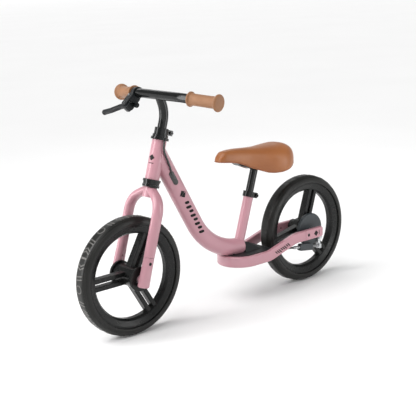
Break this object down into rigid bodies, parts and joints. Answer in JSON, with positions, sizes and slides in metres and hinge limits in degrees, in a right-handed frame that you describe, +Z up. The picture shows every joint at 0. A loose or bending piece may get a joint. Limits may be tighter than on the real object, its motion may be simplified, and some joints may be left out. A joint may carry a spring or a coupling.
{
  "type": "children's balance bike",
  "caption": "Child's balance bike with a low step-through frame, moulded spoked wheels, height-adjustable seat and handlebar, foot platform and a lever-operated rear band brake.",
  "frame": {"origin": "on the ground midway between the two wheels, on the bike's middle plane", "axes": "+X forward, +Y to the rider's left, +Z up"},
  "size_m": [0.855, 0.3772, 0.5644],
  "materials": {
    "pink_paint": "satin pink powder coat",
    "tan_rubber": "matte tan rubber",
    "tan_vinyl": "matte tan synthetic leather",
    "tyre": "matte black foam rubber",
    "black_plastic": "satin black moulded plastic",
    "grey_plastic": "dark grey moulded plastic",
    "black_rubber": "smooth black",
    "black_metal": "gloss black",
    "bright_steel": "zinc-plated steel"
  },
  "bodies": {
    "frame_body": {"frame": "pink_paint", "rear_stay_loop": "pink_paint", "footrest": "black_plastic", "footrest_screw": "black_metal", "cable_grommet": "black_rubber", "brake_cable": "black_rubber", "seat_clamp": "black_metal", "seat_clamp_bolt": "black_metal", "lower_cup": "black_metal", "upper_cup": "black_metal", "rear_axle": "bright_steel", "rear_spacer": "bright_steel", "rear_nut_left": "bright_steel", "rear_nut_right": "bright_steel", "stay_cover_left": "pink_paint", "stay_cover_right": "pink_paint", "stay_screw_left": "black_metal", "stay_screw_right": "black_metal", "brake_band": "black_metal", "brake_cover": "grey_plastic", "brake_anchor": "grey_plastic", "cable_adjuster": "bright_steel", "arm_pivot_bolt": "bright_steel"},
    "seat_body": {"saddle": "tan_vinyl", "saddle_pan": "black_plastic", "saddle_clamp": "black_plastic", "seat_post": "black_metal"},
    "fork_body": {"fork": "pink_paint", "crown_race": "black_metal", "upper_race": "black_metal", "stem_clamp": "black_metal", "stem_clamp_bolt": "black_metal", "fork_cover_left": "pink_paint", "fork_cover_right": "pink_paint", "fork_screw_left": "black_metal", "fork_screw_right": "black_metal", "front_axle": "bright_steel", "front_nut_left": "bright_steel", "front_nut_right": "bright_steel"},
    "bar_body": {"handlebar": "black_metal", "handlebar_post": "black_metal", "grip_left": "tan_rubber", "grip_right": "tan_rubber", "brake_lever_bracket": "black_plastic", "lever_pin": "bright_steel", "lever_clamp_bolt": "bright_steel"},
    "lever_body": {"brake_lever": "black_plastic"},
    "front_wheel_body": {"front_wheel": "black_plastic", "front_tyre": "tyre", "front_bearing_left": "bright_steel", "front_bearing_right": "bright_steel"},
    "rear_wheel_body": {"rear_wheel": "black_plastic", "rear_tyre": "tyre", "rear_bearing_left": "bright_steel", "rear_bearing_right": "bright_steel", "brake_drum": "black_metal"},
    "arm_body": {"brake_arm": "bright_steel", "inner_wire": "bright_steel", "return_spring": "bright_steel"}
  },
  "joints": [
    {"name": "steering", "type": "hinge", "parent": "frame_body", "child": "fork_body", "pos_m": [0.2067, 0, 0.357], "axis": [-0.3024, 0, 0.9532], "range_deg": [-60, 60]},
    {"name": "handlebar_height", "type": "slide", "parent": "fork_body", "child": "bar_body", "axis": [-0.3024, 0, 0.9532], "range_m": [-0.012, 0.049]},
    {"name": "brake_lever_pull", "type": "hinge", "parent": "bar_body", "child": "lever_body", "pos_m": [0.19605, -0.09301, 0.52114], "axis": [-0.6781, 0.1987, -0.7076], "range_deg": [0, 20], "stiffness_Nm_per_rad": 1.2, "springref_deg": -5.73},
    {"name": "front_wheel_spin", "type": "hinge", "parent": "fork_body", "child": "front_wheel_body", "pos_m": [0.2855, 0, 0.142], "axis": [0, 1, 0], "continuous": true},
    {"name": "seat_height", "type": "slide", "parent": "frame_body", "child": "seat_body", "axis": [-0.3156, 0, 0.9489], "range_m": [-0.052, 0.024]},
    {"name": "rear_wheel_spin", "type": "hinge", "parent": "frame_body", "child": "rear_wheel_body", "pos_m": [-0.2855, 0, 0.142], "axis": [0, 1, 0], "continuous": true},
    {"name": "brake_arm_turn", "type": "hinge", "parent": "frame_body", "child": "arm_body", "pos_m": [-0.31373, 0.034, 0.11636], "axis": [0, -1, 0], "range_deg": [0, 12], "deforming": ["return_spring", "inner_wire"]}
  ],
  "couplings": [
    {"joint": "brake_arm_turn", "follows": "brake_lever_pull", "ratio": 0.55}
  ]
}
